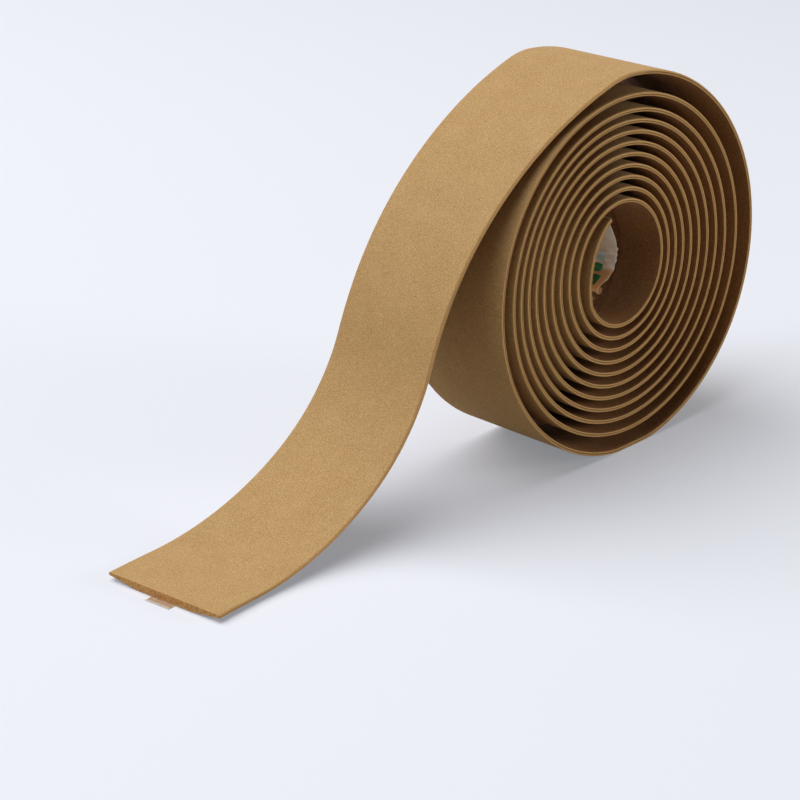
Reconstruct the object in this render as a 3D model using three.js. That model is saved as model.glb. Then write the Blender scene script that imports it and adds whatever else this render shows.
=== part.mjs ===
// Roll of padded handlebar tape, with its outer end pulled out and lying on the table.
// Millimetres, +Z up. The coil's axis runs along Y, and the free end reaches towards -X.
import * as THREE from 'three';
import { mergeVertices } from 'three/addons/utils/BufferGeometryUtils.js';

// The tape: a foam strip with a flat finished face, thinned towards both edges on its under side
const tapeWidth = 30;
const tapeThickness = 1.7;
const edgeThickness = 0.9;
const flankWidth = 7.3;

// The release film on the sticky middle of the under side
const filmWidth = 8;
const filmThickness = 0.12;
const filmClearance = 0.05;
const filmTab = 3;
const filmInnerTab = 1.2;

// The loose inner end of the film, which bows into the eye and slides towards the front edge
const filmBow = 9.2;
const filmBowRun = 27;
const filmSkew = 9.4;
const filmSkewRun = 48;

// The coil, measured on the finished face
const eyeRadius = 12.75;
const turns = 10.94;
const takeOffAngle = 91;
const turnAir = 0.88;
const endChordDip = 1.5;
const endChordTurns = 0.28;

// How the wound turns settle, as shares of the air between them: each turn slips sideways and sags a little
// further than the one inside it, and is a little more oval
const slipShare = 0.74;
const slipTurn = 0.3;
const sagShare = 0.25;
const innerOval = 0.58;
const outerOval = 1.46;
const innerOvalAngle = 110;
const outerOvalAngle = 145;

// The outermost turns have sprung open, and the weight presses a small flat under the roll
const sprungTurns = 2.2;
const sprungOpen = 3.64;
const flatSpot = 0.35;

// The tail: where each bend ends along its run, and how steeply it falls there
const tailBends = [
  { at: 0.05, slope: 17.5 },
  { at: 0.44, slope: 64 },
  { at: 0.52, slope: 72 },
  { at: 0.71, slope: 35 },
  { at: 0.93, slope: 0 },
  { at: 1.00, slope: 0 },
];
const tailSwingOut = 29.5;
const tailSwingBack = 36;

// Facets
const stepsPerTurn = 44;
const tailSteps = 46;
const filmBowSteps = 3;

const turnPitch = tapeThickness + filmClearance + filmThickness + turnAir;
const toeHeight = tapeThickness + filmClearance + filmThickness;
const radians = THREE.MathUtils.degToRad;

// The finished face of the wound tape, t turns from the inner end, in the coil's own plane
function coilPoint(t) {
  const share = t / turns;
  const angle = radians(takeOffAngle) - 2 * Math.PI * (turns - t);
  const sprung = Math.max(0, (t - turns + sprungTurns) / sprungTurns);
  const oval = turnAir * THREE.MathUtils.lerp(innerOval, outerOval, share);
  const ovalAngle = radians(THREE.MathUtils.lerp(innerOvalAngle, outerOvalAngle, share));
  const dip = t < endChordTurns ? endChordDip * Math.sin(Math.PI * t / endChordTurns) : 0;
  const radius = eyeRadius + turnPitch * t + sprungOpen * sprung ** 2
    + oval * Math.cos(2 * (angle - ovalAngle)) - dip;
  const slip = slipShare * turnAir * turns * (share - slipTurn) ** 2;
  const sag = sagShare * turnAir * turns * share ** 2;
  return new THREE.Vector3(slip + radius * Math.cos(angle), 0, radius * Math.sin(angle) - sag);
}

// Stations along the whole tape, each with the middle of the finished face and the way the width runs
function coilStations() {
  const count = Math.round(turns * stepsPerTurn);
  const stations = [];
  for (let i = 0; i <= count; i++) {
    stations.push({ point: coilPoint(turns * i / count), across: new THREE.Vector3(0, 1, 0) });
  }
  // The lowest turn is pressed flat on the table
  const table = Math.min(...stations.map((station) => station.point.z)) + flatSpot;
  for (const { point } of stations) {
    point.z = Math.max(point.z - table, 0);
  }
  return stations;
}

// The slope of the tail, in radians, at a share of its run
function tailSlope(share, startSlope) {
  let from = { at: 0, slope: startSlope };
  for (const bend of tailBends) {
    if (share <= bend.at) {
      return radians(THREE.MathUtils.mapLinear(share, from.at, bend.at, from.slope, bend.slope));
    }
    from = bend;
  }
  return radians(from.slope);
}

// The tail leaves the coil along its tangent, falls in an S and comes to lie on the table. Its length
// follows from the height that it has to fall.
function tailStations(last, beforeLast) {
  const leave = last.point.clone().sub(beforeLast.point);
  const startSlope = THREE.MathUtils.radToDeg(Math.atan2(-leave.z, -leave.x));
  const slopes = [];
  for (let i = 0; i < tailSteps; i++) {
    slopes.push(tailSlope((i + 0.5) / tailSteps, startSlope));
  }
  const fall = slopes.reduce((sum, slope) => sum + Math.sin(slope), 0);
  const step = (last.point.z - toeHeight) / fall;
  const point = last.point.clone();
  const stations = [];
  slopes.forEach((slope, i) => {
    const middle = (i + 0.5) / tailSteps;
    const end = (i + 1) / tailSteps;
    const swing = swingAngle(middle);
    const flat = Math.cos(slope);
    point.add(new THREE.Vector3(-flat * Math.cos(swing), -flat * Math.sin(swing), -Math.sin(slope))
      .multiplyScalar(step));
    const turn = swingAngle(end);
    stations.push({ point: point.clone(), across: new THREE.Vector3(-Math.sin(turn), Math.cos(turn), 0) });
  });
  return stations;
}

// The tail swings towards the back on its way down and returns at its end
function swingAngle(share) {
  return radians(tailSwingBack * share ** 2 - tailSwingOut * share);
}

// Each station gets the direction along the tape and the way the finished face looks
function addDirections(stations) {
  stations.forEach((station, i) => {
    const before = stations[Math.max(i - 1, 0)].point;
    const after = stations[Math.min(i + 1, stations.length - 1)].point;
    station.along = after.clone().sub(before).normalize();
    station.out = station.across.clone().cross(station.along).normalize();
  });
  return stations;
}

// A station between two others, or past an end
function blend(a, b, share) {
  const mix = (name) => a[name].clone().lerp(b[name], share);
  return { point: mix('point'), across: mix('across'), along: mix('along'), out: mix('out') };
}

function beyond(station, distance) {
  return { ...station, point: station.point.clone().addScaledVector(station.along, distance) };
}

// A closed solid swept through the stations. A section is a ring of [across, out] corners, and it
// turns clockwise as seen from the inner end of the tape.
function sweep(stations, sectionAt) {
  const positions = [];
  const faces = [];
  const corners = sectionAt(stations[0], 0).length;
  stations.forEach((station, i) => {
    for (const [across, out] of sectionAt(station, i)) {
      const corner = station.point.clone().addScaledVector(station.across, across)
        .addScaledVector(station.out, out);
      positions.push(corner.x, corner.y, corner.z);
    }
  });
  for (let i = 0; i + 1 < stations.length; i++) {
    for (let j = 0; j < corners; j++) {
      const a = i * corners + j;
      const b = i * corners + (j + 1) % corners;
      faces.push(a, b, b + corners, a, b + corners, a + corners);
    }
  }
  const end = (stations.length - 1) * corners;
  for (let j = 1; j + 1 < corners; j++) {
    faces.push(0, j + 1, j);
    faces.push(end, end + j, end + j + 1);
  }
  const geometry = new THREE.BufferGeometry();
  geometry.setAttribute('position', new THREE.Float32BufferAttribute(positions, 3));
  geometry.setIndex(faces);
  const solid = mergeVertices(geometry);
  solid.computeVertexNormals();
  return solid;
}

// The tape's section: flat finished face, thin edges, sloping flanks and a flat middle below
function tapeSection() {
  const edge = tapeWidth / 2;
  const flat = edge - flankWidth;
  return [
    [-edge, 0],
    [edge, 0],
    [edge, -edgeThickness],
    [flat, -tapeThickness],
    [-flat, -tapeThickness],
    [-edge, -edgeThickness],
  ];
}

// The film follows the under side of the tape, sticks out past both ends and stands off in the eye
function filmStations(tapeStations) {
  const stations = [beyond(tapeStations[0], -filmInnerTab)];
  let run = 0;
  for (let i = 0; i + 1 < tapeStations.length; i++) {
    const here = tapeStations[i];
    const next = tapeStations[i + 1];
    const step = here.point.distanceTo(next.point);
    const pieces = run < filmBowRun ? filmBowSteps : 1;
    for (let piece = 0; piece < pieces; piece++) {
      stations.push({ ...blend(here, next, piece / pieces), run: run + step * piece / pieces });
    }
    run += step;
  }
  const last = tapeStations[tapeStations.length - 1];
  stations.push({ ...last, run }, { ...beyond(last, filmTab), run: run + filmTab });
  stations[0].run = 0;
  return stations;
}

function filmSection({ run }) {
  const bow = run < filmBowRun ? filmBow * Math.sin(Math.PI * run / filmBowRun) ** 0.8 : 0;
  const skew = filmSkew * (1 - THREE.MathUtils.smoothstep(run, 0, filmSkewRun));
  const top = -(tapeThickness + filmClearance + bow);
  const bottom = top - filmThickness;
  return [
    [-filmWidth / 2 - skew, top],
    [filmWidth / 2 - skew, top],
    [filmWidth / 2 - skew, bottom],
    [-filmWidth / 2 - skew, bottom],
  ];
}

function piece(name, geometry, color, roughness) {
  const material = new THREE.MeshStandardMaterial({ color, roughness, metalness: 0 });
  const mesh = new THREE.Mesh(geometry, material);
  mesh.name = name;
  return mesh;
}

const coil = coilStations();
const tail = tailStations(coil[coil.length - 1], coil[coil.length - 2]);
const tapeLine = addDirections([...coil, ...tail]);
const roll = new THREE.Group();
roll.add(
  piece('tape', sweep(tapeLine, tapeSection), '#b8935c', 0.85),
  piece('release_film', sweep(filmStations(tapeLine), filmSection), '#e3d2bf', 0.4),
);

// The origin is on the table, under the middle of the whole thing
const bounds = new THREE.Box3().setFromObject(roll);
const middle = bounds.getCenter(new THREE.Vector3());
roll.position.set(-middle.x, -middle.y, -bounds.min.z);

export default roll;
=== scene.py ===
# %% [markdown]
# # A roll of handlebar tape
#
# Handlebar tape is one long strip of soft foam with a fine matt skin. A sticky stripe runs down the middle
# of its under side, covered by a thin film that is peeled off before the tape is wound on the bar. Here it
# is still rolled up, with its outer end pulled out. The scene has two pieces, the tape and the film, and
# both follow the same path, so most of this lesson is about that path and about the tape's skin.

# %% Open the frame
import math

import bmesh
import bpy
import numpy as np
from mathutils import Matrix, Vector


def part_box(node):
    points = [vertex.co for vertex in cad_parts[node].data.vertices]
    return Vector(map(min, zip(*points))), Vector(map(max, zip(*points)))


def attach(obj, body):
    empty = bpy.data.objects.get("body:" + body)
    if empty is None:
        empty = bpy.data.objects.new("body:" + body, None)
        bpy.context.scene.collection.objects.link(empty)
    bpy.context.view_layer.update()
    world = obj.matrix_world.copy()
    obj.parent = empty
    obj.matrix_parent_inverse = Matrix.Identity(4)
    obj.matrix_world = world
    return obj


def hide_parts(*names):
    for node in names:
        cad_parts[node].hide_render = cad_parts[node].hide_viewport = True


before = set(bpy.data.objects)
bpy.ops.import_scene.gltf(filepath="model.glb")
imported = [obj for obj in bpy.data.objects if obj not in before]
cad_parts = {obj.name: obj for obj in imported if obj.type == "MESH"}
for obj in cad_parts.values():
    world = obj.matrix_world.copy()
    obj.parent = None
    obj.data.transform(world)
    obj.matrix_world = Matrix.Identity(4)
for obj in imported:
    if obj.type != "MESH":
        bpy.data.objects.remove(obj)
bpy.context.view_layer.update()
MM = 0.001

# %% [markdown]
# ## The camera
#
# The camera comes first, so that every later step can be judged in the right view. It looks down on the
# roll from the front left with a long lens, which keeps the turns from fanning out. Its place follows from
# one point of the roll's front face, the spot where that point shows in the picture, and how far away it is.

# %% Place the camera
PICTURE = 800
FOCAL_PIXELS = 2200
SENSOR = 36.0
VIEW_AZIMUTH = math.radians(45.79)
VIEW_ELEVATION = math.radians(22.92)
AIM_DISTANCE = 488.8 * MM
AIM_PIXEL = (627.4, 287.1)
AIM_HEIGHT = 40 * MM
ROLL_MIDDLE_X = 38.5 * MM

tape_low = Vector(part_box("tape")[0])


def place_camera():
    aim = Vector((ROLL_MIDDLE_X, tape_low.y, AIM_HEIGHT))
    level = math.cos(VIEW_ELEVATION)
    forward = Vector((math.sin(VIEW_AZIMUTH) * level, math.cos(VIEW_AZIMUTH) * level,
                      -math.sin(VIEW_ELEVATION)))
    right = Vector((math.cos(VIEW_AZIMUTH), -math.sin(VIEW_AZIMUTH), 0))
    up = right.cross(forward)
    aside, below = ((pixel - PICTURE / 2) / FOCAL_PIXELS * AIM_DISTANCE for pixel in AIM_PIXEL)
    data = bpy.data.cameras.new("camera")
    data.sensor_width = SENSOR
    data.lens = FOCAL_PIXELS / PICTURE * SENSOR
    camera = bpy.data.objects.new("camera", data)
    axes = Matrix((right, up, -forward)).transposed().to_4x4()
    place = aim - right * aside + up * below - forward * AIM_DISTANCE
    camera.matrix_world = Matrix.Translation(place) @ axes
    bpy.context.collection.objects.link(camera)
    bpy.context.scene.camera = camera
    return camera


camera = place_camera()
print("camera at", [round(value, 3) for value in camera.matrix_world.translation])

# %% [markdown]
# ## The path of the tape
#
# The wound part is a spiral whose radius grows by one pitch a turn. A real roll isn't that tidy: its turns
# slip sideways and sag, they go a little oval, the outermost ones spring open, and its weight presses a
# small flat under it. Each of these is one term of the formula, so the roll keeps the tight and wide gaps
# of a real one. A curve drawn by hand could do the same, but with a formula every turn stays true when a
# size changes. The tail is built the way a falling strip hangs: from its slope at a few places.

# %% Sizes of the tape and the film, in millimetres
TAPE_WIDTH = 30
TAPE_THICKNESS = 1.7
EDGE_THICKNESS = 0.9
FLANK_WIDTH = 7.3
FILM_WIDTH = 8
FILM_THICKNESS = 0.12
FILM_CLEARANCE = 0.05

# %% Sizes of the coil, in millimetres and degrees
EYE_RADIUS = 12.75
TURNS = 10.94
TAKE_OFF_ANGLE = 91
TURN_AIR = 0.88
TURN_PITCH = TAPE_THICKNESS + FILM_CLEARANCE + FILM_THICKNESS + TURN_AIR
STEPS_PER_TURN = 110

# The inner end stays a little straighter than the turn that it starts
END_CHORD_DIP = 1.5
END_CHORD_TURNS = 0.28

# How far the turns slip sideways, sag and go oval, as shares of the air between them. The slip is none at
# SLIP_TURN, a share of the way out, and each pair runs from the innermost turn to the outermost.
SLIP_SHARE = 0.74
SLIP_TURN = 0.3
SAG_SHARE = 0.25
OVAL = (0.58, 1.46)
OVAL_ANGLE = (110, 145)

# The outermost turns have sprung open, and the lowest one is pressed flat, with soft ends to the flat
SPRUNG_TURNS = 2.2
SPRUNG_OPEN = 3.64
FLAT_SPOT = 0.35
FLAT_EASE = 0.12


# %% Work out the wound turns
def coil_points():
    turn = np.linspace(0, TURNS, round(TURNS * STEPS_PER_TURN) + 1)
    share = turn / TURNS
    angle = math.radians(TAKE_OFF_ANGLE) - 2 * np.pi * (TURNS - turn)
    sprung = np.maximum(0, (turn - TURNS + SPRUNG_TURNS) / SPRUNG_TURNS)
    oval = TURN_AIR * np.interp(share, (0, 1), OVAL)
    oval_angle = np.radians(np.interp(share, (0, 1), OVAL_ANGLE))
    dip = np.where(turn < END_CHORD_TURNS, END_CHORD_DIP * np.sin(np.pi * turn / END_CHORD_TURNS), 0)
    radius = EYE_RADIUS + TURN_PITCH * turn + SPRUNG_OPEN * sprung**2
    radius = radius + oval * np.cos(2 * (angle - oval_angle)) - dip
    slip = SLIP_SHARE * TURN_AIR * TURNS * (share - SLIP_TURN) ** 2
    sag = SAG_SHARE * TURN_AIR * TURNS * share**2
    height = radius * np.sin(angle) - sag
    height = height - height.min() - FLAT_SPOT
    height = (height + np.sqrt(height**2 + FLAT_EASE**2)) / 2
    return np.stack([slip + radius * np.cos(angle), 0 * turn, height], axis=1)


# %% Let the tail fall from the top of the coil
TOE_HEIGHT = TAPE_THICKNESS + FILM_CLEARANCE + FILM_THICKNESS
TAIL_STEPS = 150

# The tail's bends end at these shares of its run. At its start it has the coil's own slope, and at the
# other shares it has these.
TAIL_BEND_ENDS = (0, 0.05, 0.44, 0.52, 0.71, 0.93, 1)
TAIL_SLOPES = (17.5, 64, 72, 35, 0, 0)

# On its way down the tail swings towards the back, and it returns at its end
TAIL_SWING_OUT = 29.5
TAIL_SWING_BACK = 36


def swing_angle(share):
    return np.radians(TAIL_SWING_BACK * share**2 - TAIL_SWING_OUT * share)


def tail_points(coil):
    leave = coil[-1] - coil[-2]
    start_slope = math.degrees(math.atan2(-leave[2], -leave[0]))
    middle = (np.arange(TAIL_STEPS) + 0.5) / TAIL_STEPS
    slope = np.radians(np.interp(middle, TAIL_BEND_ENDS, (start_slope, *TAIL_SLOPES)))
    step = (coil[-1][2] - TOE_HEIGHT) / np.sin(slope).sum()
    swing = swing_angle(middle)
    level = np.cos(slope)
    moves = -step * np.stack([level * np.cos(swing), level * np.sin(swing), np.sin(slope)], axis=1)
    turned = swing_angle((np.arange(TAIL_STEPS) + 1) / TAIL_STEPS)
    across = np.stack([-np.sin(turned), np.cos(turned), 0 * turned], axis=1)
    return coil[-1] + np.cumsum(moves, axis=0), across


# %% Join both, and add the directions at each point
def unit(vectors):
    return vectors / np.linalg.norm(vectors, axis=1)[:, None]


def tape_path():
    coil = coil_points()
    tail, tail_across = tail_points(coil)
    points = np.concatenate([coil, tail])
    across = np.concatenate([np.tile([0.0, 1.0, 0.0], (len(coil), 1)), tail_across])
    along = unit(np.gradient(points, axis=0))
    out = unit(np.cross(across, along))
    run = np.concatenate([[0], np.cumsum(np.linalg.norm(np.diff(points, axis=0), axis=1))])
    return points, across, along, out, run


points, across, along, out, run = tape_path()
print("tape length", round(run[-1] / 1000, 3), "m")

# %% Shift the path to where the solid lies
corner = points - across * TAPE_WIDTH / 2
far_corner = points + across * TAPE_WIDTH / 2
lowest = np.minimum(corner, far_corner).min(axis=0) * MM
shift = np.array([tape_low.x - lowest[0], tape_low.y - lowest[1], 0]) / MM
points = points + shift
print("shift", shift.round(2), "mm")

# %% [markdown]
# ## Sweeping a section along the path
#
# Both pieces are one outline carried along the path, so one Geometry Nodes tree makes both. It turns a line
# of points into a curve, sets the curve's normal to the way the tape's face looks, and runs the section
# along it with closed ends. Curve to Mesh puts the section's X along that normal and its Y across the
# tape. Whatever is stored on the points, such as the distance along the tape, comes out on the mesh too,
# where the materials can read it.


# %% Build the sweep tree
def sweep_tree():
    tree = bpy.data.node_groups.new("sweep_section", "GeometryNodeTree")
    tree.interface.new_socket("Path", in_out="INPUT", socket_type="NodeSocketGeometry")
    tree.interface.new_socket("Section", in_out="INPUT", socket_type="NodeSocketObject")
    tree.interface.new_socket("Finish", in_out="INPUT", socket_type="NodeSocketMaterial")
    tree.interface.new_socket("Solid", in_out="OUTPUT", socket_type="NodeSocketGeometry")

    def add(kind, **inputs):
        node = tree.nodes.new(kind)
        for name, value in inputs.items():
            socket = node.inputs[name.replace("_", " ")]
            if isinstance(value, bpy.types.NodeSocket):
                tree.links.new(value, socket)
            else:
                socket.default_value = value
        return node

    start = add("NodeGroupInput")
    path = add("GeometryNodeMeshToCurve", Mesh=start.outputs["Path"])
    facing = add("GeometryNodeInputNamedAttribute", Name="out")
    facing.data_type = "FLOAT_VECTOR"
    turned = tree.nodes.new("GeometryNodeSetCurveNormal")
    turned.mode = "FREE"
    tree.links.new(path.outputs["Curve"], turned.inputs["Curve"])
    tree.links.new(facing.outputs["Attribute"], turned.inputs["Normal"])
    section = add("GeometryNodeObjectInfo", Object=start.outputs["Section"])
    outline = add("GeometryNodeMeshToCurve", Mesh=section.outputs["Geometry"])
    solid = add("GeometryNodeCurveToMesh", Curve=turned.outputs["Curve"],
                Profile_Curve=outline.outputs["Curve"], Fill_Caps=True)
    real = add("GeometryNodeRealizeInstances", Geometry=solid.outputs["Mesh"])
    done = add("GeometryNodeSetMaterial", Geometry=real.outputs["Geometry"], Material=start.outputs["Finish"])
    end = tree.nodes.new("NodeGroupOutput")
    tree.links.new(done.outputs["Geometry"], end.inputs["Solid"])
    return tree


sweeper = sweep_tree()
print("sweep tree with", len(sweeper.nodes), "nodes")


# %% Store a line of points, with a value or a vector on each
def line_object(name, places, closed, **attributes):
    mesh = bpy.data.meshes.new(name)
    links = [(i, i + 1) for i in range(len(places) - 1)]
    if closed:
        links.append((len(places) - 1, 0))
    mesh.from_pydata([tuple(place) for place in places], links, [])
    for key, values in attributes.items():
        values = np.asarray(values, dtype=np.float32)
        kind, field = ("FLOAT_VECTOR", "vector") if values.ndim == 2 else ("FLOAT", "value")
        layer = mesh.attributes.new(key, kind, "POINT")
        layer.data.foreach_set(field, values.ravel())
    line = bpy.data.objects.new(name, mesh)
    bpy.context.collection.objects.link(line)
    return line


# %% Run the tree on a path and a section
SHARP_ANGLE = math.radians(35)
MERGE_DISTANCE = 1e-7
CUBIC_CM = 1e-6


def swept_mesh(name, path, section, finish):
    modifier = path.modifiers.new("sweep", "NODES")
    modifier.node_group = sweeper
    inputs = {"Section": section, "Finish": finish}
    for item in sweeper.interface.items_tree:
        if item.name in inputs:
            modifier[item.identifier] = inputs[item.name]
    evaluated = path.evaluated_get(bpy.context.evaluated_depsgraph_get())
    mesh = bpy.data.meshes.new_from_object(evaluated)
    mesh.name = name
    for helper in (path, section):
        bpy.data.objects.remove(helper)
    return mesh


def sweep(name, path, section, finish):
    """The piece as a plain closed mesh: smooth all over, but for its sharp corners."""
    mesh = swept_mesh(name, path, section, finish)
    work = bmesh.new()
    work.from_mesh(mesh)
    bmesh.ops.remove_doubles(work, verts=work.verts, dist=MERGE_DISTANCE)
    if work.calc_volume(signed=True) < 0:
        bmesh.ops.reverse_faces(work, faces=work.faces)
    for face in work.faces:
        face.smooth = True
    for edge in work.edges:
        edge.smooth = len(edge.link_faces) == 2 and edge.calc_face_angle() < SHARP_ANGLE
    print(name, "faces", len(work.faces), "volume cm3", round(work.calc_volume() / CUBIC_CM, 2))
    work.to_mesh(mesh)
    work.free()
    piece = bpy.data.objects.new(name, mesh)
    bpy.context.collection.objects.link(piece)
    return piece


# %% [markdown]
# ## Shader maths as plain expressions
#
# A finish is easier to read as sums than as a web of nodes. The first class below wraps one socket that
# carries a number, and each operator on it adds the Math node for that sum. The second adds any other node
# by its type, to the tree of a finish or of the sky. Colours go through Mix, because a Math node would turn
# them grey.


# %% A wrapped socket
class Number:
    def __init__(self, nodes, socket):
        self.nodes = nodes
        self.socket = socket

    def maths(self, operation, *others):
        return self.nodes.maths(operation, self, *others)

    def __add__(self, other):
        return self.maths("ADD", other)

    __radd__ = __add__

    def __mul__(self, other):
        return self.maths("MULTIPLY", other)

    __rmul__ = __mul__

    def __sub__(self, other):
        return self.maths("SUBTRACT", other)

    def __rsub__(self, other):
        return self.nodes.maths("SUBTRACT", other, self)

    def __gt__(self, other):
        return self.maths("GREATER_THAN", other)

    def __lt__(self, other):
        return self.maths("LESS_THAN", other)

    def between(self, low, high):
        return (self > low) * (self < high)

    def fade(self, start, end):
        """0 up to start and 1 from end on, with a soft rise from one to the other."""
        rise = self.nodes.node("ShaderNodeMapRange", {"interpolation_type": "SMOOTHSTEP", "clamp": True},
                               Value=self, From_Min=start, From_Max=end)
        return Number(self.nodes, rise.outputs["Result"])


# %% The nodes of one tree
class Nodes:
    def __init__(self, tree):
        self.tree = tree
        tree.nodes.clear()

    def connect(self, value, socket):
        if isinstance(value, Number):
            value = value.socket
        if isinstance(value, bpy.types.NodeSocket):
            self.tree.links.new(value, socket)
        else:
            socket.default_value = value

    def node(self, kind, settings=None, **inputs):
        node = self.tree.nodes.new(kind)
        for key, value in (settings or {}).items():
            setattr(node, key, value)
        for key, value in inputs.items():
            self.connect(value, node.inputs[key.replace("_", " ")])
        return node

    def maths(self, operation, *values):
        node = self.node("ShaderNodeMath", {"operation": operation})
        for value, socket in zip(values, node.inputs):
            self.connect(value, socket)
        return Number(self, node.outputs["Value"])

    def mix(self, share, first, second):
        """A blend of two colours. A Mix node's colours are its sockets A_Color, B_Color and Result_Color."""
        node = self.node("ShaderNodeMix", {"data_type": "RGBA"}, Factor=share)
        sockets = {socket.identifier: socket for socket in (*node.inputs, *node.outputs)}
        for value, name in ((first, "A_Color"), (second, "B_Color")):
            self.connect(value if isinstance(value, bpy.types.NodeSocket) else (*value, 1), sockets[name])
        return sockets["Result_Color"]

    def mix_shaders(self, share, first, second):
        node = self.node("ShaderNodeMixShader")
        for value, socket in zip((share, first, second), node.inputs):
            self.connect(value, socket)
        return node.outputs["Shader"]

    def seen_by_eye(self):
        """1 for what is looked at, also in a shiny face or through glass, and 0 for what it lights."""
        rays = self.node("ShaderNodeLightPath").outputs
        straight, mirrored, through = (Number(self, rays[name])
                                       for name in ("Is Camera Ray", "Is Glossy Ray", "Is Transmission Ray"))
        return (straight + mirrored + through).maths("MINIMUM", 1)


# %% A finish
class Finish(Nodes):
    def __init__(self, name):
        self.material = bpy.data.materials.new(name)
        self.material.use_nodes = True
        super().__init__(self.material.node_tree)

    def attribute(self, name):
        return Number(self, self.node("ShaderNodeAttribute", {"attribute_name": name}).outputs["Fac"])

    def noise(self, size, detail=2.0, roughness=0.5):
        place = self.node("ShaderNodeTexCoord").outputs["Object"]
        node = self.node("ShaderNodeTexNoise", Vector=place, Scale=1 / size,
                         Detail=detail, Roughness=roughness)
        return Number(self, node.outputs["Fac"])

    def bump(self, height, strength, distance):
        node = self.node("ShaderNodeBump", Height=height, Strength=strength, Distance=distance)
        return node.outputs["Normal"]

    def surface(self, **inputs):
        shader = self.node("ShaderNodeBsdfPrincipled", **inputs)
        self.node("ShaderNodeOutputMaterial", Surface=shader.outputs["BSDF"])


def tone(red, green, blue):
    """A colour written as it looks on a screen, from 0 to 255."""
    return tuple(((level / 255 + 0.055) / 1.055) ** 2.4 for level in (red, green, blue))


# %% [markdown]
# ## The tape's skin
#
# The finished face is a fine suede-like skin: from a step away it is one warm tan, and close up it is
# speckled by grains about a quarter of a millimetre across. The cut edges and the cut end show the foam
# inside, which is warmer in tone and has open pores; its tones are also painted paler than the skin, as
# painted light for narrow faces that the lamps barely reach. A thin painted highlight runs along the skin's
# corners at the cut edges and the cut end. The under side is browner, and its tones are darkened further
# as painted shade for the inside of the roll. A picture of suede could give the grain, but noise needs no
# picture and shows no seam along two metres of tape. The mesh carries a number called face, which is 0 on
# the skin, 1 on the cut edges and 2 on the under side, and the finish blends by it.

# %% The tones and grains of the tape
SKIN = tone(189, 152, 101)
SKIN_DARK = tone(163, 124, 75)
SKIN_PALE = tone(211, 175, 124)
# The foam tone here and the edge tone below are the foam's warmer colour, painted paler than the skin as
# well, as painted light for cut faces that the lamps barely reach
FOAM_WITH_PAINTED_LIGHT = tone(220, 168, 106)
FOAM_DARK = tone(182, 128, 74)
# The under side's tones are its own browner colour, darkened further as painted shade for the inside of the
# roll
UNDER_WITH_PAINTED_SHADE = tone(112, 76, 44)
UNDER_PALE_WITH_PAINTED_SHADE = tone(166, 118, 70)
# The rim tone is a painted highlight along the skin's corner beside the cut edges and the cut end
PAINTED_RIM_HIGHLIGHT = tone(216, 170, 104)
EDGE_WITH_PAINTED_LIGHT = tone(214, 168, 108)
GRAIN = 0.24 * MM
MOTTLE = 5.5 * MM
PORE = 0.55 * MM

# How much the grain and the larger mottle add to the speckle, and the values at which its tones change
GRAIN_WEIGHT = 1.25
MOTTLE_WEIGHT = 0.12
DARK_TO_SKIN = (0.28, 0.5)
SKIN_TO_PALE = (0.5, 0.72)
UNDER_TONES = (0.2, 0.7)
END_PORES = (0.36, 0.56)
EDGE_PORES = (0.3, 0.5)

# The face numbers, how far the edge's tone reaches past its own number, and the thin painted highlight beside
# it
SKIN_FACE, EDGE_FACE, UNDER_FACE = 0, 1, 2
HALFWAY = 0.5
EDGE_REACH = 0.55
HIGHLIGHT_MARGIN = 0.02
HIGHLIGHT_SHARE = 0.4
END_HIGHLIGHT_RUN = 0.22

# How rough the skin is, what makes it smoother or rougher, and what stands up or sinks in on it
SKIN_ROUGHNESS = 0.82
GRAIN_POLISH = 0.2
EDGE_ROUGHER = 0.06
GRAIN_HEIGHT = 0.5
MOTTLE_HEIGHT = 0.3
EDGE_PORE_HEIGHT = 0.7
SKIN_BUMP = 0.35
SKIN_BUMP_DEPTH = 0.08 * MM
MATT_SHINE = 0.25


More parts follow.
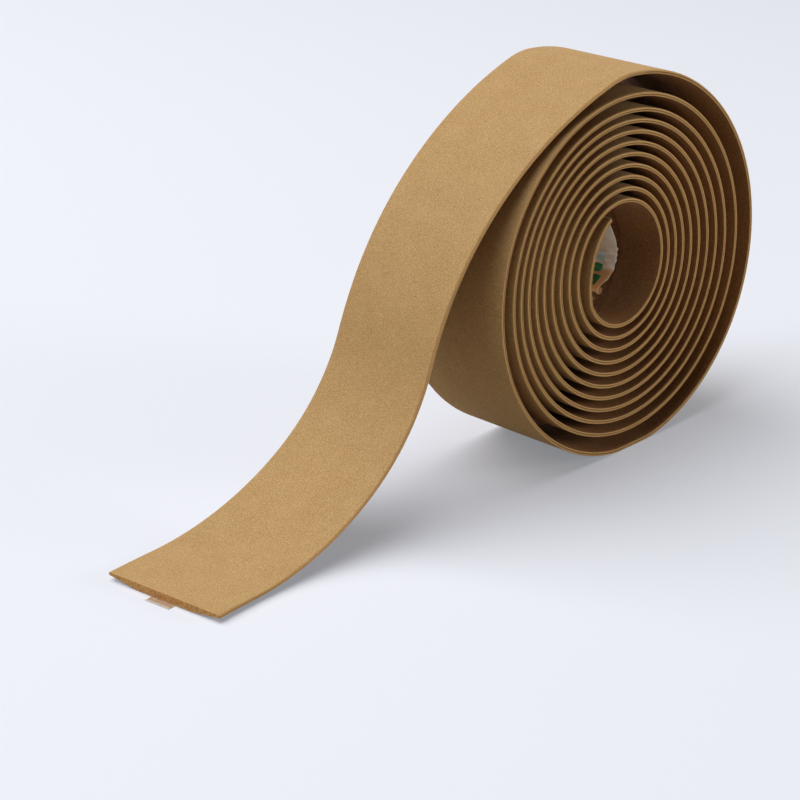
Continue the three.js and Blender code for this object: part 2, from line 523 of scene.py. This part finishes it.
# %% Make the tape's finish
def tape_finish(length):
    finish = Finish("tan_tape")
    face = finish.attribute("face")
    distance = finish.attribute("run")
    grain = finish.noise(GRAIN, detail=3, roughness=0.65)
    mottle = finish.noise(MOTTLE, detail=2)
    pores = finish.noise(PORE, detail=3, roughness=0.7)
    speckle = (grain - 0.5) * GRAIN_WEIGHT + (mottle - 0.5) * MOTTLE_WEIGHT + 0.5
    skin = finish.mix(speckle.fade(*DARK_TO_SKIN), SKIN_DARK, SKIN)
    skin = finish.mix(speckle.fade(*SKIN_TO_PALE), skin, SKIN_PALE)
    # The tones of the cut end and the cut edges are lifted above the skin's as painted light, for faces the
    # lamps barely reach
    foam_and_painted_light = finish.mix(pores.fade(*END_PORES), FOAM_DARK, FOAM_WITH_PAINTED_LIGHT)
    # The under side's own browner tone, darkened further as painted shade for the roll's eye and the gaps
    # between turns
    under_with_painted_shade = finish.mix(speckle.fade(*UNDER_TONES), UNDER_PALE_WITH_PAINTED_SHADE, UNDER_WITH_PAINTED_SHADE)
    edge_tone_with_painted_light = finish.mix(pores.fade(*EDGE_PORES), FOAM_WITH_PAINTED_LIGHT, EDGE_WITH_PAINTED_LIGHT)

    cut_end = finish.attribute("cut_end") > HALFWAY
    edge = face.between(EDGE_FACE - EDGE_REACH, EDGE_FACE + EDGE_REACH)
    # These two masks place a painted highlight along the skin's corners at the cut edges and at the cut end
    end_highlight = (distance > length - END_HIGHLIGHT_RUN) * (face < HALFWAY)
    rim_highlight = face.between(SKIN_FACE + HIGHLIGHT_MARGIN, EDGE_FACE - HIGHLIGHT_MARGIN).maths("MAXIMUM", end_highlight)
    colour = finish.mix(face > EDGE_FACE + EDGE_REACH, skin, under_with_painted_shade)
    colour = finish.mix(edge, colour, edge_tone_with_painted_light)
    colour = finish.mix(rim_highlight * HIGHLIGHT_SHARE, colour, PAINTED_RIM_HIGHLIGHT)
    colour = finish.mix(cut_end, colour, foam_and_painted_light)

    rough = SKIN_ROUGHNESS - (grain - 0.5) * GRAIN_POLISH + edge * EDGE_ROUGHER
    height = grain * GRAIN_HEIGHT + mottle * MOTTLE_HEIGHT + pores * (edge * EDGE_PORE_HEIGHT + cut_end)
    normal = finish.bump(height, SKIN_BUMP, SKIN_BUMP_DEPTH)
    finish.surface(Base_Color=colour, Roughness=rough, Normal=normal, Specular_IOR_Level=MATT_SHINE)
    return finish.material


tape_material = tape_finish(run[-1])
print(tape_material.name, "with", len(tape_material.node_tree.nodes), "nodes")

# %% [markdown]
# ## The tape itself
#
# The section is drawn once, with its corners rounded: small radii where a knife trimmed the edges, and wide
# soft ones where the foam thins. A Bevel modifier could round them on the finished mesh, but one small
# outline is quicker to round and stays even along the whole tape. Each straight stretch gets an extra point
# close to both of its ends, so that smooth shading stays flat on the flats and turns only in the corners.

# %% Round the corners of an outline
ARC_STEPS = 4
SUPPORT = 0.35


def rounded_outline(corners):
    """corners holds (across, out, radius, the face after the corner); each one becomes an arc."""
    rows = []
    for i, (across_i, out_i, radius, face) in enumerate(corners):
        here = Vector((across_i, out_i))
        before = Vector(corners[i - 1][:2])
        after = Vector(corners[(i + 1) % len(corners)][:2])
        inward, onward = (before - here).normalized(), (after - here).normalized()
        half = inward.angle(onward) / 2
        reach = radius / math.tan(half)
        first, last = here + inward * reach, here + onward * reach
        face_before = corners[i - 1][3]
        rows.append((first + inward * SUPPORT, face_before))
        for step in range(ARC_STEPS + 1):
            share = step / ARC_STEPS
            curve = first * (1 - share) ** 2 + here * 2 * share * (1 - share) + last * share**2
            rows.append((curve, face_before if share < 0.5 else face))
        rows.append((last + onward * min(SUPPORT, reach), face))
    return rows


# %% Draw the tape's section
EDGE_RADIUS = 0.26
UNDER_RADIUS = 1.6


def tape_section():
    edge = TAPE_WIDTH / 2
    flat = edge - FLANK_WIDTH
    rows = rounded_outline([
        (-edge, 0, EDGE_RADIUS, SKIN_FACE),
        (edge, 0, EDGE_RADIUS, EDGE_FACE),
        (edge, -EDGE_THICKNESS, EDGE_RADIUS, UNDER_FACE),
        (flat, -TAPE_THICKNESS, UNDER_RADIUS, UNDER_FACE),
        (-flat, -TAPE_THICKNESS, UNDER_RADIUS, UNDER_FACE),
        (-edge, -EDGE_THICKNESS, EDGE_RADIUS, EDGE_FACE),
    ])
    places = [(row.y * MM, row.x * MM, 0) for row, _ in rows]
    faces = [face for _, face in rows]
    sides = [row.x for row, _ in rows]
    return line_object("tape_section", places, True, face=faces, side=sides)


# %% Sweep the tape
END_STEP = 0.04


def at_distances(line, distances):
    """A line's values at these distances along the tape."""
    return np.stack([np.interp(distances, run, line[:, axis]) for axis in range(3)], axis=1)


def tape_line():
    """The path with an extra point close to each end, where the cut face begins."""
    places = np.sort(np.concatenate([run, [END_STEP, run[-1] - END_STEP]]))
    middle, face = (at_distances(line, places) for line in (points, out))
    cut_end = (places < END_STEP / 2) | (places > run[-1] - END_STEP / 2)
    return line_object("tape_line", middle * MM, False, out=face, run=places, cut_end=cut_end)


tape = sweep("handlebar_tape", tape_line(), tape_section(), tape_material)


# %% [markdown]
# The last few centimetres have been handled, which has pressed the thin edges of the tail thinner still. The
# sweep can't do that, since it carries one section everywhere, so the points of the flanks are moved
# afterwards. Every point still knows its distance along the tape and its place across it.

# %% Read and move the points of a mesh
def read_values(mesh, *keys):
    values = []
    for key in keys:
        row = np.empty(len(mesh.vertices), dtype=np.float32)
        mesh.attributes[key].data.foreach_get("value", row)
        values.append(row)
    return values


def move_points(mesh, moves):
    places = np.empty(len(mesh.vertices) * 3)
    mesh.vertices.foreach_get("co", places)
    mesh.vertices.foreach_set("co", places + (moves * MM).ravel())
    mesh.update()


def ease(share):
    """A share held between 0 and 1, with a soft start and end."""
    share = np.clip(share, 0, 1)
    return share**2 * (3 - 2 * share)


# %% Press the edges of the tail's end
PRESSED_RUN = 55
PRESSED_DEPTH = 0.27


def press_edges(piece):
    mesh = piece.data
    away, side, face = read_values(mesh, "run", "side", "face")
    near_end = ease(1 - (run[-1] - away) / PRESSED_RUN)
    near_edge = np.clip((np.abs(side) - TAPE_WIDTH / 2 + FLANK_WIDTH) / FLANK_WIDTH, 0, 1)
    below = face > EDGE_FACE + HALFWAY
    index = np.clip(np.searchsorted(run, away), 0, len(run) - 1)
    press = PRESSED_DEPTH * near_edge * near_end * below
    move_points(mesh, out[index] * press[:, None])
    print("pressed", int((press > 0).sum()), "points by at most", round(float(press.max()), 2), "mm")


press_edges(tape)
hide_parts("tape")
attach(tape, "root")

# %% [markdown]
# ## The release film
#
# The film is a strip of thin satin plastic, hazy white where it is loose and brown where it shows the sticky
# stripe behind it. It follows the under side of the tape at a hair's breadth and sticks out past both ends.
# At the inner end it has come loose: it stands off in a tall bow with a small second one behind it, drawn as
# pairs of distance and stand-off, and it slides forwards. The same sweep makes it, from that changed path.
# A flat ribbon would do for a picture, but a section with two sides keeps the film a closed solid.

# %% Draw the loose end of the film, in millimetres along the tape and away from it
LOOSE_FILM = (
    (-1.2, 0.0), (-0.6, 0.1), (-0.1, 0.9), (0.1, 3.2), (0.8, 6.0), (2.6, 7.3), (5.2, 8.0), (8, 8.4),
    (10.7, 8.5), (13, 8.3), (14.9, 7.7), (16.8, 6.4), (18.2, 4.7), (19.2, 3.4), (20.2, 3.3), (21.3, 3.7),
    (22.7, 3.3), (24, 1.8), (25.6, 0.4), (27.5, 0.0), (30, 0.0),
)
LOOSE_STEPS = 6


def smooth_line(corners, steps):
    """A Catmull-Rom line through the corners."""
    corners = np.array(corners, dtype=float)
    padded = np.concatenate([2 * corners[:1] - corners[1:2], corners, 2 * corners[-1:] - corners[-2:-1]])
    share = (np.arange(steps) / steps)[:, None]
    pieces = []
    for before, here, after, beyond in zip(padded, padded[1:], padded[2:], padded[3:]):
        bend = 2 * before - 5 * here + 4 * after - beyond
        turn = 3 * here - before - 3 * after + beyond
        pieces.append(0.5 * (2 * here + (after - before) * share + bend * share**2 + turn * share**3))
    return np.concatenate(pieces + [corners[-1:]])


# %% Work out the film's path
FILM_TAB = 1.9
FILM_SKEW = 9.4
FILM_SKEW_START = 16
FILM_SKEW_END = 50
STUCK_GAP = 1


def film_path():
    loose = smooth_line(LOOSE_FILM, LOOSE_STEPS)
    stuck = run[run > loose[-1, 0] + STUCK_GAP]
    distance = np.concatenate([loose[:, 0], stuck, [run[-1] + FILM_TAB]])
    stand_off = np.concatenate([np.maximum(loose[:, 1], 0), 0 * stuck, [0]])
    middle, side, ahead, face = (at_distances(line, distance) for line in (points, across, along, out))
    past_end = distance - np.clip(distance, 0, run[-1])
    skew = FILM_SKEW * (1 - ease((distance - FILM_SKEW_START) / (FILM_SKEW_END - FILM_SKEW_START)))
    depth = TAPE_THICKNESS + FILM_CLEARANCE + FILM_THICKNESS / 2 + stand_off
    middle = middle + ahead * past_end[:, None] - face * depth[:, None] - side * skew[:, None]
    return middle, unit(np.cross(side, np.gradient(middle, axis=0))), distance


film_points, film_out, film_run = film_path()
print("film length", round((film_run[-1] - film_run[0]) / 1000, 3), "m along the tape")

# %% [markdown]
# The film's finish reads the distance along the tape. That tells it where the film hangs loose, where it
# sticks, and where the print comes: a pale patch and two green blocks, which start again every few
# centimetres. The tab is the same film seen against the floor, darkened by a painted shadow of the tape's
# end that clears to the film's own pale tone at its tip.

# %% The tones of the film
FILM_HAZE = tone(248, 214, 192)
FILM_WHITE = tone(252, 236, 226)
FILM_WARM = tone(238, 176, 122)
FILM_STUCK = tone(146, 100, 56)
# The tab's darker tone is a painted shadow of the tape's end on the film, and the paler one is the film's own
# tone at the tip
FILM_TAB_PAINTED_SHADOW = tone(206, 160, 118)
FILM_TAB_CLEAR = tone(240, 222, 204)
PRINT_GREEN = tone(34, 128, 80)
PRINT_TEAL = tone(176, 226, 220)
CLOUD = 3.2 * MM
CLOUD_TONES = (0.35, 0.65)

# Where the tones change along the film, in millimetres, and how strong the warm one is
WARM_RUN = (12.5, 15.5)
WARM_SHARE = 0.85
STUCK_RUN = (19, 26)
TAB_SHADOW_FADE = (0.6, 0.95)

# The print: where it repeats, and the start, stop and lower edge of its patch and blocks
PRINT_STEP = 70
PRINT_EDGE = 3.1
PRINT_PATCH = (7.5, 11.6, -1.0)
PATCH_FADE = 1.5
PATCH_SHARE = 0.85
PRINT_BLOCKS = ((13.0, 15.7, -1.0), (16.7, 18.7, -2.2))

# The look of the sheet: satin where it is loose, duller and clearer where it sticks, denser at the tab
FILM_ROUGHNESS = 0.4
CLOUD_POLISH = 0.2
STUCK_ROUGHER = 0.4
TAB_SMOOTHER = 0.2
FILM_OPACITY = 0.95
STUCK_CLEARER = 0.6
TAB_DENSER = 0.4
CREASE = 1.8 * MM
CREASE_BUMP = 0.3
CREASE_DEPTH = 0.12 * MM
FILM_SHINE = 0.25
GLOW_WEIGHT = 0.8
GLOW_RADIUS = (1, 0.9, 0.8)
GLOW_DEPTH = 0.6 * MM


# %% Make the film's finish
def film_colour(finish, distance, cloud, stuck, tab, length):
    place = distance.maths("FLOORED_MODULO", PRINT_STEP)
    side = finish.attribute("side")
    colour = finish.mix(cloud.fade(*CLOUD_TONES), FILM_HAZE, FILM_WHITE)
    start, stop, edge = PRINT_PATCH
    patch = place.fade(start, start + PATCH_FADE) * (place < stop) * side.between(edge, PRINT_EDGE)
    colour = finish.mix(patch * PATCH_SHARE, colour, PRINT_TEAL)
    colour = finish.mix(distance.fade(*WARM_RUN) * WARM_SHARE, colour, FILM_WARM)
    colour = finish.mix(stuck, colour, FILM_STUCK)
    for start, stop, edge in PRINT_BLOCKS:
        block = place.between(start, stop) * side.between(edge, PRINT_EDGE)
        colour = finish.mix(block * (1 - stuck), colour, PRINT_GREEN)
    # Painted shadow on the tab: dark next to the tape's end, clearing to the film's pale tone at its tip
    tab_out_of_shadow = distance.fade(*(length + FILM_TAB * share for share in TAB_SHADOW_FADE))
    return finish.mix(tab, colour, finish.mix(tab_out_of_shadow, FILM_TAB_PAINTED_SHADOW, FILM_TAB_CLEAR))


def film_finish(length):
    finish = Finish("release_film")
    distance = finish.attribute("run")
    cloud = finish.noise(CLOUD, detail=2)
    crease = finish.noise(CREASE, detail=1)
    stuck = distance.fade(*STUCK_RUN)
    tab = distance > length
    finish.surface(
        Base_Color=film_colour(finish, distance, cloud, stuck, tab, length),
        Roughness=FILM_ROUGHNESS + (cloud - 0.5) * CLOUD_POLISH + stuck * STUCK_ROUGHER - tab * TAB_SMOOTHER,
        Alpha=FILM_OPACITY - stuck * STUCK_CLEARER + tab * TAB_DENSER,
        Normal=finish.bump(crease, CREASE_BUMP, CREASE_DEPTH),
        Specular_IOR_Level=FILM_SHINE,
        Subsurface_Weight=GLOW_WEIGHT,
        Subsurface_Radius=GLOW_RADIUS,
        Subsurface_Scale=GLOW_DEPTH,
    )
    return finish.material


# %% Sweep the film
FILM_COLUMNS = 9


def film_section():
    half_sheet = FILM_THICKNESS / 2
    columns = np.linspace(-FILM_WIDTH / 2, FILM_WIDTH / 2, FILM_COLUMNS)
    rows = [(side, half_sheet) for side in columns] + [(side, -half_sheet) for side in columns[::-1]]
    places = [(height * MM, side * MM, 0) for side, height in rows]
    return line_object("film_section", places, True, side=[side for side, _ in rows])


film_line = line_object("film_line", film_points * MM, False, out=film_out, run=film_run)
film = sweep("release_film_strip", film_line, film_section(), film_finish(run[-1]))

# %% Crinkle the loose end
CRINKLE = 0.28
CRINKLE_START = 1.5
CRINKLE_END = 22
CRINKLE_FADE = 4

# Each wave's turn per millimetre along the film and across it, and where it starts, in radians
SLANT_WAVE = (1.1, 0.55, 0)
CROSS_WAVE = (0, 0.9, 0.8)
RIPPLE_WAVE = (1.9, -0.8, 1)
RIPPLE_SHARE = 0.6


def crinkle(piece):
    """Loose film is never smooth, so its free stretch gets shallow crossing waves."""
    away, side = read_values(piece.data, "run", "side")
    free = np.clip(away / CRINKLE_START, 0, 1) * np.clip((CRINKLE_END - away) / CRINKLE_FADE, 0, 1)
    slant, cross, ripple = (np.sin(away * per_length + side * per_width + start)
                            for per_length, per_width, start in (SLANT_WAVE, CROSS_WAVE, RIPPLE_WAVE))
    wave = slant * cross + RIPPLE_SHARE * ripple
    index = np.interp(away, film_run, np.arange(len(film_run))).round().astype(int)
    move_points(piece.data, film_out[index] * (CRINKLE * free * wave)[:, None])
    print("crinkled", int((free > 0).sum()), "of", len(away), "points")


crinkle(film)

# %% Trim the tab
TAB_TRIM = 0.2
TAB_TRIM_RUN = 3


def trim_tab(piece):
    """The tab at the outer end is cut a little narrower than the rest of the film."""
    away, side = read_values(piece.data, "run", "side")
    near_end = np.clip((away - run[-1]) / TAB_TRIM_RUN + 1, 0, 1)
    move_points(piece.data, across[-1] * (-TAB_TRIM * side * near_end)[:, None])
    print("trimmed", int((near_end > 0).sum()), "points of the tab")


trim_tab(film)
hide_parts("release_film")
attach(film, "root")

# %% [markdown]
# ## Floor and light
#
# The roll lies on seamless pale paper with a cool tint. One large soft lamp stands high on its left and a
# little behind it, so the shadow falls to the right. A smaller one stands low on the right, where it faces
# the flat side of the roll and reaches the edges of the turns. The sky is dim, which keeps the gaps between
# them dark. The paper looks paler to the eye than it is for the light that it throws back, because a bright
# floor would light the inside of the roll's eye.

# %% Make the floor
PAPER = tone(241, 242, 250)
PAPER_GLOW = tone(240, 246, 255)
PAPER_BOUNCE = tone(194, 190, 183)
GLOW_SHARE = 0.25
FLOOR_SIZE = 6.0


def paper_finish():
    paper = Finish("pale_paper")
    seen = paper.seen_by_eye()
    lit = paper.node("ShaderNodeBsdfDiffuse", Color=paper.mix(seen, PAPER_BOUNCE, PAPER))
    glow = paper.node("ShaderNodeEmission", Color=(*PAPER_GLOW, 1))
    both = paper.mix_shaders(seen * GLOW_SHARE, lit.outputs["BSDF"], glow.outputs["Emission"])
    paper.node("ShaderNodeOutputMaterial", Surface=both)
    return paper.material


def make_floor():
    mesh = bpy.data.meshes.new("floor")
    half = FLOOR_SIZE / 2
    corners = [(-half, -half, 0), (half, -half, 0), (half, half, 0), (-half, half, 0)]
    mesh.from_pydata(corners, [], [(0, 1, 2, 3)])
    mesh.materials.append(paper_finish())
    floor = bpy.data.objects.new("floor", mesh)
    bpy.context.collection.objects.link(floor)
    return floor


floor = make_floor()
print("floor", FLOOR_SIZE, "m across")

# %% Make the sky
SKY_LIGHT = (1.0, 0.97, 0.92)
SKY_STRENGTH = 0.02
BACKDROP = tone(237, 241, 250)


def make_sky():
    world = bpy.data.worlds.new("studio")
    world.use_nodes = True
    sky = Nodes(world.node_tree)
    lit = sky.node("ShaderNodeBackground", Color=(*SKY_LIGHT, 1), Strength=SKY_STRENGTH)
    seen = sky.node("ShaderNodeBackground", Color=(*BACKDROP, 1))
    both = sky.mix_shaders(sky.seen_by_eye(), lit.outputs["Background"], seen.outputs["Background"])
    sky.node("ShaderNodeOutputWorld", Surface=both)
    return world


bpy.context.scene.world = make_sky()

# %% Hang the lamps, each with its power in watts, its size in metres and its place
LAMPS = {
    "key": (31.2, 1.9, Vector((-0.38, 0.5, 1.3))),
    "fill": (7.2, 0.5, Vector((0.9, -1.1, 0.28))),
}


def hang_lamp(name, power, size, place):
    data = bpy.data.lights.new(name, "AREA")
    data.energy = power
    data.size = size
    lamp = bpy.data.objects.new(name, data)
    lamp.location = place
    lamp.rotation_euler = (-place).to_track_quat("-Z", "Y").to_euler()
    bpy.context.collection.objects.link(lamp)
    print(name, "lamp", power, "W,", round(place.length, 2), "m away")


for name, (power, size, place) in LAMPS.items():
    hang_lamp(name, power, size, place)
bpy.context.scene.view_settings.view_transform = "Standard"
